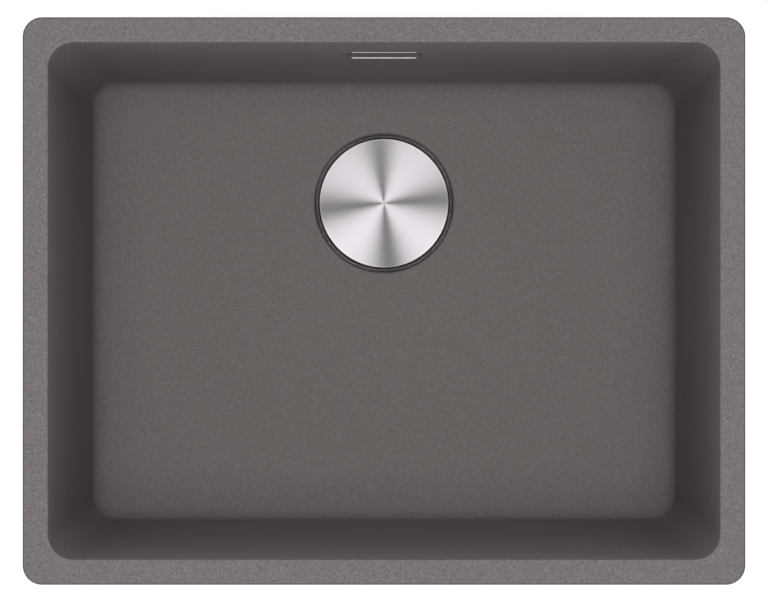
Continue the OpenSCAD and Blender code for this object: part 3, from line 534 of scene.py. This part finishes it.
# Outside, a waist between two rounded bands; inside, a tapped hole, its thread as seven rings
waist_r, tapped_r, crest_r = 3.2, 2.1, 1.85
bush_profile = [(2.5, 0), (waist_r, 0), (insert_r, 0.3), (insert_r, 3), (waist_r, 3.3), (waist_r, 4.7)]
bush_profile += [(insert_r, 5), (insert_r, insert_l - 0.3), (waist_r, insert_l), (0, insert_l), (0, 7)]
for i in range(7):
    bush_profile += [(tapped_r, 6.8 - i), (crest_r, 6.55 - i), (crest_r, 6.3 - i), (tapped_r, 6.05 - i)]
bush_profile += [(tapped_r, 0.4)]
bush = thing("bush", lathe(bush_profile, 32), brass)
finished(repeated("rim_bushes", bush, insert_places, brass), "sink", "rim_inserts")

# Strainer cup and its two seals. The cup is deep drawn from stainless sheet and polished; its
# flange is drawn down on a rubber ring in the recess, and a second ring seals it from below.


def copied(name, node, material):
    """A merged copy of a node's solid, with its flat faces whole again."""
    bm = bmesh.new()
    bm.from_mesh(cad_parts[node].data)
    bmesh.ops.scale(bm, vec=(1 / MM, 1 / MM, 1 / MM), verts=bm.verts)
    bmesh.ops.remove_doubles(bm, verts=bm.verts, dist=0.002)
    bmesh.ops.dissolve_limit(bm, angle_limit=math.radians(0.2), verts=bm.verts, edges=bm.edges)
    return thing(name, bm, material)


def softened(made, width, segments=2, angle=32):
    """Rounds a piece's edges by a width in millimetres."""
    bevel = made.modifiers.new("rounding", "BEVEL")
    bevel.width = width * MM
    bevel.segments = segments
    bevel.angle_limit = math.radians(angle)
    bevel.use_clamp_overlap = False
    bevel.miter_outer = "MITER_ARC"
    return baked(made)


def dressed(name, node, body, material, width, segments=2):
    """Gives a node's own solid rounded edges and a material, and lets it stand for the node."""
    finished(softened(copied(name, node, material), width, segments), body, node)


def around_drain(tree, place):
    """The distance from the waste's axis, and the direction of lines turned about that axis."""
    local = add(tree, "ShaderNodeVectorMath", {0: place, 1: drain * MM}, operation="SUBTRACT")
    flat = add(tree, "ShaderNodeVectorMath", {0: local.outputs[0], 1: (1, 1, 0)}, operation="MULTIPLY")
    radius = add(tree, "ShaderNodeVectorMath", {0: flat.outputs[0]}, operation="LENGTH")
    along = add(tree, "ShaderNodeVectorMath", {0: (0, 0, 1), 1: flat.outputs[0]}, operation="CROSS_PRODUCT")
    return radius.outputs["Value"], along.outputs[0]


PRESS_LINE_R, PRESS_LINE_FROM, PRESS_LINE_TO, PRESS_LINE_DULL = 55.25, 0.45, 0.95, 0.08

# Polished sheet: it mirrors what is above it, dark in the recess and bright on the rounded edges
drawn_steel, tree, shader, place = surface("stainless steel, deep drawn and polished", "bfb9b8", 0.08, 1.0)
radius, _ = around_drain(tree, place)
height = add(tree, "ShaderNodeSeparateXYZ", {0: place})
# The die's tracks are a few hundredths of a millimetre wide, and 0.5 mm here, so that they show
track = add(tree, "ShaderNodeCombineXYZ", {0: radius, 1: height.outputs[2]})
lines = add(tree, "ShaderNodeTexNoise", {"Vector": track.outputs[0], "Scale": 1 / (0.5 * MM), "Detail": 3.0})
polish = add(tree, "ShaderNodeMapRange", {"Value": lines.outputs[0], "To Min": 0.075, "To Max": 0.135})
# The press leaves one duller line around the flange, midway between the cover and the recess
from_line = add(tree, "ShaderNodeMath", {0: radius, 1: PRESS_LINE_R * MM}, operation="SUBTRACT")
aside = add(tree, "ShaderNodeMath", {0: from_line.outputs[0]}, operation="ABSOLUTE")
dull = add(tree, "ShaderNodeMapRange", {"Value": aside.outputs[0], "From Min": PRESS_LINE_FROM * MM,
                                        "From Max": PRESS_LINE_TO * MM, "To Min": PRESS_LINE_DULL, "To Max": 0.0})
finish = add(tree, "ShaderNodeMath", {0: polish.outputs[0], 1: dull.outputs[0]}, operation="ADD")
tree.links.new(finish.outputs[0], shader.inputs["Roughness"])

# Moulded rubber: nearly black and quite dull, with a faint grey bloom
rubber, tree, shader, place = surface("EPDM rubber, moulded", "1d1d1e", 0.72, specular=0.35)
bloom = add(tree, "ShaderNodeTexNoise", {"Vector": place, "Scale": 1 / (6 * MM), "Detail": 4.0})
dusty = add(tree, "ShaderNodeMapRange", {"Value": bloom.outputs[0], "From Min": 0.35, "From Max": 0.75})
tint = add(tree, "ShaderNodeMix", {0: dusty.outputs[0], 6: linear("19191a"), 7: linear("2a2929")},
           data_type="RGBA")
tree.links.new(tint.outputs[2], shader.inputs["Base Color"])

dressed("cup_gasket", "cup_seal", "sink", rubber, 0.3)
dressed("drawn_cup", "strainer_cup", "sink", drawn_steel, 0.28)
dressed("floor_gasket", "body_seal", "sink", rubber, 0.5)

# Waste body. A bowl moulded in black polypropylene under the floor, with gussets beneath its
# flange, a stub behind for the overflow's hose and a threaded outlet for the trap.
# Spark-grained plastic: soft black, its sheen broken up by a fine grain. The real grain is about
# 0.1 mm wide, and 0.35 mm here, so that it shows.
plastic, tree, shader, place = surface("polypropylene, moulded with a fine spark grain", "27272a", 0.5,
                                       specular=0.45)
grain = add(tree, "ShaderNodeTexNoise", {"Vector": place, "Scale": 1 / (0.35 * MM), "Detail": 2.0})
gloss = add(tree, "ShaderNodeMapRange", {"Value": grain.outputs[0], "To Min": 0.4, "To Max": 0.62})
tree.links.new(gloss.outputs[0], shader.inputs["Roughness"])
relief = add(tree, "ShaderNodeBump", {"Height": grain.outputs[0], "Strength": 0.25, "Distance": 0.05 * MM})
tree.links.new(relief.outputs[0], shader.inputs["Normal"])

outlet_foot, outlet_depth, outlet_r, outlet_bore = 1.2, 65, 23.9, 21.8
outlet_low, outlet_high = cad_box[0].z / MM + outlet_foot, bowl_floor_z - outlet_depth
thread_pitch, thread_depth, crest_share = 2.309, 1.3, 0.12
relief_inner, relief_outer, relief_inset = 22.2, 25, 0.1


def thread_ring(z, segments=96):
    """One level of a G 1 1/2 thread that fades out at its two ends."""
    fade = max(0, min(1, (z - outlet_low) / thread_pitch, (outlet_high - z) / thread_pitch))
    ring = []
    for i in range(segments):
        phase = ((z - outlet_low) / thread_pitch - i / segments) % 1
        groove = max(0, min(1, (abs(2 * phase - 1) - crest_share) / (1 - 2 * crest_share)))
        radius = outlet_r - thread_depth * groove * fade
        turn = math.tau * i / segments
        ring.append(drain + Vector((radius * math.cos(turn), radius * math.sin(turn), z)))
    return ring


# The stub's plain skin is cut away and a threaded sleeve joined on in its place
rows = int((outlet_high - outlet_low) / thread_pitch * 8)
sleeve = [(thread_ring(outlet_low + (outlet_high - outlet_low) * i / rows), 0) for i in range(rows + 1)]
sleeve += [(drain_ring(outlet_bore, z, 96, 0), 0) for z in (outlet_high, outlet_low)]
relief_low, relief_high = outlet_low + relief_inset, outlet_high - relief_inset
relief_cut = lathe([(relief_inner, relief_low), (relief_outer, relief_low), (relief_outer, relief_high),
                    (relief_inner, relief_high)])
waste = softened(copied("waste_moulding", "waste_body", plastic), 0.35)
cut(waste, thing("relief", relief_cut, plastic, place=drain))
cut(waste, thing("sleeve", loft(sleeve), plastic), "UNION")
finished(waste, "sink", "waste_body")

# Clamping screw and its insert. One stainless screw through the cup's middle pulls the cup and
# the waste body together on the floor; it bites in a hexagonal brass insert in the body's hub.
# Tumbled steel: bright, with a soft shine that has no direction. Its smears are 1.5 mm wide, as
# coarse as they need to be to show.
bright_steel, tree, shader, place = surface("stainless steel, turned and tumbled", "bcbcbe", 0.26, 1.0)
tumbled = add(tree, "ShaderNodeTexNoise", {"Vector": place, "Scale": 1 / (1.5 * MM), "Detail": 4.0})
smear = add(tree, "ShaderNodeMapRange", {"Value": tumbled.outputs[0], "To Min": 0.16, "To Max": 0.36})
tree.links.new(smear.outputs[0], shader.inputs["Roughness"])

dressed("hexagon_insert", "hub_insert", "sink", brass, 0.25)
dressed("socket_screw", "clamp_screw", "sink", bright_steel, 0.2)

# Basket. A slotted stainless pressing with a rolled rim, lifted out by the grip on its stem. A
# rubber plug below it, held by a nut, closes the cup's windows while the basket stands in it.
dressed("slotted_basket", "strainer_basket", "basket", drawn_steel, 0.12, 1)
dressed("plug_disc", "plug_seal", "basket", rubber, 0.3)
dressed("grip_and_stem", "basket_stem", "basket", bright_steel, 0.2)
dressed("plug_nut", "stem_nut", "basket", bright_steel, 0.15)

# Flush cover. A disc of stainless steel turned flat and brushed in circles on a lathe, so it
# shines in rays that run out from its middle; a brighter ring along its edge is a painted
# highlight. Its moulded spider is bonded underneath and drops over the basket's grip.
dressed("moulded_spider", "cover_spider", "cover", plastic, 0.3)

# Brushing in circles stretches each reflection along the lines, so the disc shows four bright
# fans and dark rays between them that all meet in its middle
turned_steel, tree, shader, place = surface("stainless steel, turned and brushed", "dedadf", 0.3, 1.0,
                                            anisotropic=1.0)
radius, along = around_drain(tree, place)
tree.links.new(along, shader.inputs["Tangent"])
# The turned lines are 0.1 mm apart on the real disc and 0.6 mm here, so that they show
track = add(tree, "ShaderNodeCombineXYZ", {0: radius})
lines = add(tree, "ShaderNodeTexNoise", {"Vector": track.outputs[0], "Scale": 1 / (0.6 * MM), "Detail": 3.0})
rough = add(tree, "ShaderNodeMapRange", {"Value": lines.outputs[0], "To Min": 0.24, "To Max": 0.38})
tree.links.new(rough.outputs[0], shader.inputs["Roughness"])

cover_r = (cover_high.x - cover_low.x) / 2
cover_edge, cover_foot, highlight_from, highlight_to = 0.25, 0.3, 1.9, 1.3
# Painted highlight: a ring along the edge is painted brighter than the rest of the disc
painted_edge_highlight = add(tree, "ShaderNodeMapRange", {"Value": radius, "From Min": (cover_r - highlight_from) * MM,
                                            "From Max": (cover_r - highlight_to) * MM})
tone = add(tree, "ShaderNodeMix", {0: painted_edge_highlight.outputs[0], 6: linear("dedadf"), 7: linear("e8e4e9")},
           data_type="RGBA")
tree.links.new(tone.outputs[2], shader.inputs["Base Color"])

disc = [(0, cover_low.z), (cover_r - cover_foot, cover_low.z), (cover_r, cover_low.z + cover_foot)]
disc += arc(cover_r - cover_edge, cover_high.z - cover_edge, cover_edge, 0, 90)
disc += [(cover_r - 1, cover_high.z), (0, cover_high.z)]
finished(thing("flush_disc", lathe(disc, 256), turned_steel, place=drain), "cover", "drain_cover", 50)

# Overflow plate. A strip of stainless steel with its face painted dark as a painted reflection of
# the bowl, bent along its foot into a bright lip under which the water runs away; two legs snap
# into the housing. Its face is left bare.
plate_low, plate_high = reach("overflow_plate")
# How far the brushed lip and the painted shade line above it reach from the front, and the top edge from above
lip_full, lip_end, shade_line_end = 0.9, 1.2, 1.9
top_full, top_end, top_share = 0.2, 0.42, 0.75

# The face is painted the bowl's dark tone, matt and without gloss: a painted reflection of the
# dark bowl. Only its lip and its top edge are bare steel, which draws them as two bright lines on the wall
painted_face_steel, tree, shader, place = surface("stainless steel, dark matt coat with brushed edges", "716c6b",
                                            0.5, 1.0, specular=0.0)
wiped = add(tree, "ShaderNodeTexNoise", {"Vector": place, "Scale": 1 / (4 * MM), "Detail": 4.0})
streak = add(tree, "ShaderNodeMapRange", {"Value": wiped.outputs[0], "To Min": 0.42, "To Max": 0.5})
across = add(tree, "ShaderNodeSeparateXYZ", {0: place})
on_lip = add(tree, "ShaderNodeMapRange", {
    "Value": across.outputs[1], "From Min": (plate_low.y + lip_full) * MM, "From Max": (plate_low.y + lip_end) * MM,
    "To Min": 1.0, "To Max": 0.0})
on_top = add(tree, "ShaderNodeMapRange", {
    "Value": across.outputs[2], "From Min": (plate_high.z - top_end) * MM,
    "From Max": (plate_high.z - top_full) * MM, "To Max": top_share})
brushed = add(tree, "ShaderNodeMath", {0: on_lip.outputs[0], 1: on_top.outputs[0]}, operation="MAXIMUM")
tree.links.new(streak.outputs[0], shader.inputs["Roughness"])
tree.links.new(brushed.outputs[0], shader.inputs["Metallic"])
# Painted shade: a darker line painted on the face just above the lip
painted_shade_line = add(tree, "ShaderNodeMapRange", {
    "Value": across.outputs[1], "From Min": (plate_low.y + lip_end) * MM, "From Max": (plate_low.y + shade_line_end) * MM,
    "To Min": 1.0, "To Max": 0.0})
# The face's painted reflection, darkened into the painted shade line above the lip
painted_face_tone = add(tree, "ShaderNodeMix", {0: painted_shade_line.outputs[0], 6: linear("716c6b"), 7: linear("2e2b2a")},
           data_type="RGBA")
tone = add(tree, "ShaderNodeMix", {0: brushed.outputs[0], 6: painted_face_tone.outputs[2], 7: linear("e6e2e1")},
           data_type="RGBA")
tree.links.new(tone.outputs[2], shader.inputs["Base Color"])
dressed("face_strip", "overflow_plate", "sink", painted_face_steel, 0.4, 4)

# Overflow housing. Moulded in black polypropylene and screwed to the pad behind the wall over
# a rubber seal, with two brass bushes in the pad; a nozzle below it takes the hose.
dressed("wall_gasket", "overflow_seal", "sink", rubber, 0.3)
dressed("overflow_chamber", "overflow_housing", "sink", plastic, 0.5)
dressed("pad_bushes", "overflow_inserts", "sink", brass, 0.2)
dressed("pan_head_screws", "overflow_screws", "sink", bright_steel, 0.25)

# Overflow hose. Corrugated polypropylene with plain cuffs at its ends: down the back of the
# bowl from the nozzle and round under the floor to the waste body's stub.
# Blown plastic: a waxy dark grey, paler than the black mouldings at both of its ends
hose_grey, tree, shader, place = surface("polypropylene, blown and corrugated", "5c5c60", 0.42, specular=0.45)
mottle = add(tree, "ShaderNodeTexNoise", {"Vector": place, "Scale": 1 / (3 * MM), "Detail": 3.0})
shade = add(tree, "ShaderNodeMix", {0: mottle.outputs[0], 6: linear("56565a"), 7: linear("636367")},
            data_type="RGBA")
tree.links.new(shade.outputs[2], shader.inputs["Base Color"])

RIB_PHASE, RIB_TOP = -0.2 * math.pi, -0.7

ribbed, given = tree_of("ribbed hose", [
    ("Bend", "Float"), ("Outer radius", "Float"), ("Root radius", "Float"), ("Pitch", "Float"), ("Cuff", "Float"),
    ("Material", "Material")])
line = add(ribbed, "GeometryNodeMeshToCurve", {"Mesh": given["Geometry"]})
bent = add(ribbed, "GeometryNodeFilletCurve", {"Curve": line.outputs[0], "Count": 48, "Radius": given["Bend"]},
           mode="POLY")
fine = add(ribbed, "GeometryNodeResampleCurve", {"Curve": bent.outputs[0], "Length": 0.4 * MM}, mode="LENGTH")
whole = add(ribbed, "GeometryNodeSplineLength")
along = add(ribbed, "GeometryNodeSplineParameter")
# As many whole ribs as fit between the cuffs, with the length left over shared by the two cuffs
room = add(ribbed, "ShaderNodeMath", {0: given["Cuff"], 1: -2.0, 2: whole.outputs["Length"]},
           operation="MULTIPLY_ADD")
rib_share = add(ribbed, "ShaderNodeMath", {0: room.outputs[0], 1: given["Pitch"]}, operation="DIVIDE")
rib_count = add(ribbed, "ShaderNodeMath", {0: rib_share.outputs[0]}, operation="FLOOR")
ribs_l = add(ribbed, "ShaderNodeMath", {0: rib_count.outputs[0], 1: given["Pitch"]}, operation="MULTIPLY")
spare = add(ribbed, "ShaderNodeMath", {0: whole.outputs["Length"], 1: ribs_l.outputs[0]}, operation="SUBTRACT")
first = add(ribbed, "ShaderNodeMath", {0: spare.outputs[0], 1: 0.5}, operation="MULTIPLY")
from_first = add(ribbed, "ShaderNodeMath", {0: along.outputs["Length"], 1: first.outputs[0]},
                 operation="SUBTRACT")
turns = add(ribbed, "ShaderNodeMath", {0: from_first.outputs[0], 1: given["Pitch"]}, operation="DIVIDE")
# Each rib is a wave along the hose, flattened where it is widest
angle = add(ribbed, "ShaderNodeMath", {0: turns.outputs[0], 1: math.tau, 2: RIB_PHASE}, operation="MULTIPLY_ADD")
wave = add(ribbed, "ShaderNodeMath", {0: angle.outputs[0]}, operation="COSINE")
valley = add(ribbed, "ShaderNodeMapRange", {"Value": wave.outputs[0], "From Min": RIB_TOP, "From Max": 1.0,
                                            "To Min": 0.0, "To Max": 1.0})
started = add(ribbed, "ShaderNodeMath", {0: turns.outputs[0], 1: 0.0}, operation="GREATER_THAN")
unended = add(ribbed, "ShaderNodeMath", {0: turns.outputs[0], 1: rib_count.outputs[0]}, operation="LESS_THAN")
within = add(ribbed, "ShaderNodeMath", {0: started.outputs[0], 1: unended.outputs[0]}, operation="MULTIPLY")
depth = add(ribbed, "ShaderNodeMath", {0: valley.outputs[0], 1: within.outputs[0]}, operation="MULTIPLY")
size = add(ribbed, "ShaderNodeMix", {0: depth.outputs[0], 2: given["Outer radius"], 3: given["Root radius"]},
           data_type="FLOAT")
circle = add(ribbed, "GeometryNodeCurvePrimitiveCircle", {"Resolution": 56, "Radius": 1.0})
tube = add(ribbed, "GeometryNodeCurveToMesh", {"Curve": fine.outputs[0], "Profile Curve": circle.outputs[0],
                                               "Scale": size.outputs[0]})
joined = add(ribbed, "GeometryNodeRealizeInstances", {0: tube.outputs[0]})
coated = add(ribbed, "GeometryNodeSetMaterial", {"Geometry": joined.outputs[0], "Material": given["Material"]})
add(ribbed, "NodeGroupOutput", {0: coated.outputs[0]})

hose_low, hose_high = reach("overflow_hose")
hose_r = (hose_high.x - hose_low.x) / 2
hose_wall, hose_bend, root_r, rib_pitch, cuff_l = 0.6, 46.16, 9.4, 4, 18
nozzle_y, inlet_z = hose_high.y - hose_r, hose_low.z + hose_r
route = [(0, nozzle_y, hose_high.z), (0, nozzle_y, inlet_z), (0, hose_low.y, inlet_z)]
bm = bmesh.new()
corners = [bm.verts.new(corner) for corner in route]
for start, end in zip(corners, corners[1:]):
    bm.edges.new((start, end))
hose = grown(thing("corrugated_hose", bm), ribbed, Bend=hose_bend * MM, Outer_radius=hose_r * MM,
             Root_radius=root_r * MM, Pitch=rib_pitch * MM, Cuff=cuff_l * MM, Material=hose_grey)
thickness = hose.modifiers.new("wall", "SOLIDIFY")
thickness.thickness = hose_wall * MM
thickness.offset = -1
finished(baked(hose), "sink", "overflow_hose", 60)

# Hose clip. A stainless band with slots pressed through it, drawn tight over the hose's top
# cuff by a hexagon-headed worm in a small housing.
clip_low, clip_high = reach("hose_clip")
clip_w = clip_high.z - clip_low.z
clip_place = (0, nozzle_y, clip_low.z)
about_z, given = tree_of("copies about an upright axis", [
    ("Count", "Int"), ("First", "Float"), ("Material", "Material")])
spots = add(about_z, "GeometryNodeMeshLine", {"Count": given["Count"], "Offset": (0, 0, 0)})
step = add(about_z, "ShaderNodeMath", {0: math.tau, 1: given["Count"]}, operation="DIVIDE")
number = add(about_z, "GeometryNodeInputIndex")
angle = add(about_z, "ShaderNodeMath", {0: number.outputs[0], 1: step.outputs[0], 2: given["First"]},
            operation="MULTIPLY_ADD")
twist = add(about_z, "ShaderNodeCombineXYZ", {2: angle.outputs[0]})
copies = add(about_z, "GeometryNodeInstanceOnPoints", {"Points": spots.outputs[0], "Instance": given["Geometry"],
                                                       "Rotation": twist.outputs[0]})
solid = add(about_z, "GeometryNodeRealizeInstances", {0: copies.outputs[0]})
coated = add(about_z, "GeometryNodeSetMaterial", {"Geometry": solid.outputs[0], "Material": given["Material"]})
add(about_z, "NodeGroupOutput", {0: coated.outputs[0]})

band = thing("worm_drive_clip", lathe([
    (10.7, 0.3), (11.0, 0), (11.5, 0), (11.7, 0.3), (11.45, 0.9), (11.45, clip_w - 0.9), (11.7, clip_w - 0.3),
    (11.5, clip_w), (11.0, clip_w), (10.7, clip_w - 0.3)], 96), bright_steel)
slot_count, slot_half_w, slot_inset = 36, 0.45, 1.8
slot_outline = [(10.5, slot_inset), (12.5, slot_inset), (12.5, clip_w - slot_inset), (10.5, clip_w - slot_inset)]
slots_cut = grown(thing("clip_slots", prism(slot_outline, -slot_half_w, slot_half_w), bright_steel), about_z,
                  Count=slot_count, First=0.0, Material=bright_steel)
cut(band, slots_cut)
housing_top = [(10.9, 0.6), (13.2, 0.6), *arc(12.2, 2.6, 2, -50, 0, 3), *arc(12.2, clip_w - 2.6, 2, 0, 50, 3),
               (13.2, clip_w - 0.6), (10.9, clip_w - 0.6)]
housing = thing("worm_housing", prism(housing_top, -4.5, 4.5), bright_steel)
cut(band, housing, "UNION")
# The worm lies across the band with its hexagon head at one side, cut for a flat driver
worm_x, worm_z, driver_half_w = 11.2, clip_w / 2, 0.5
laid = Matrix.Translation((worm_x * MM, 0, worm_z * MM)) @ Matrix.Rotation(math.radians(-90), 4, "X")
worm = thing("worm", lathe([(0, -6.4), (1.9, -6.4), (1.9, 5.6), (1.6, 6), (0, 6)], 32), bright_steel)
worm.data.transform(laid)
cut(band, worm, "UNION")
head = thing("worm_head", lathe([(0, -9), (2.9, -9), (3.2, -8.7), (3.2, -6.3), (0, -6.3)], 6), bright_steel)
head.data.transform(laid)
cut(band, head, "UNION")
driver = [(x, worm_z + side * driver_half_w) for x, side in ((8, -1), (15, -1), (15, 1), (8, 1))]
cut(band, thing("driver", prism(driver, -9.5, -7.9), bright_steel))
band.data.transform(Matrix.Translation(Vector(clip_place) * MM))
finished(softened(band, 0.1, 1), "sink", "hose_clip")

# Hose nut and washer. A ribbed hand nut, moulded in grey polypropylene, closes on the stub and
# squeezes a rubber washer around the hose's lower cuff.
# Grained grey plastic: a little duller than the hose, so the nut stands out from it. The real
# grain is about 0.1 mm wide, and 0.4 mm here, so that it shows.
nut_grey, tree, shader, place = surface("polypropylene, moulded grey", "55555a", 0.45, specular=0.45)
grain = add(tree, "ShaderNodeTexNoise", {"Vector": place, "Scale": 1 / (0.4 * MM), "Detail": 2.0})
gloss = add(tree, "ShaderNodeMapRange", {"Value": grain.outputs[0], "To Min": 0.36, "To Max": 0.55})
tree.links.new(gloss.outputs[0], shader.inputs["Roughness"])
dressed("hand_nut", "hose_nut", "sink", nut_grey, 0.4)
dressed("nut_washer", "hose_washer", "sink", rubber, 0.3)

bpy.context.scene.view_settings.view_transform = "Standard"
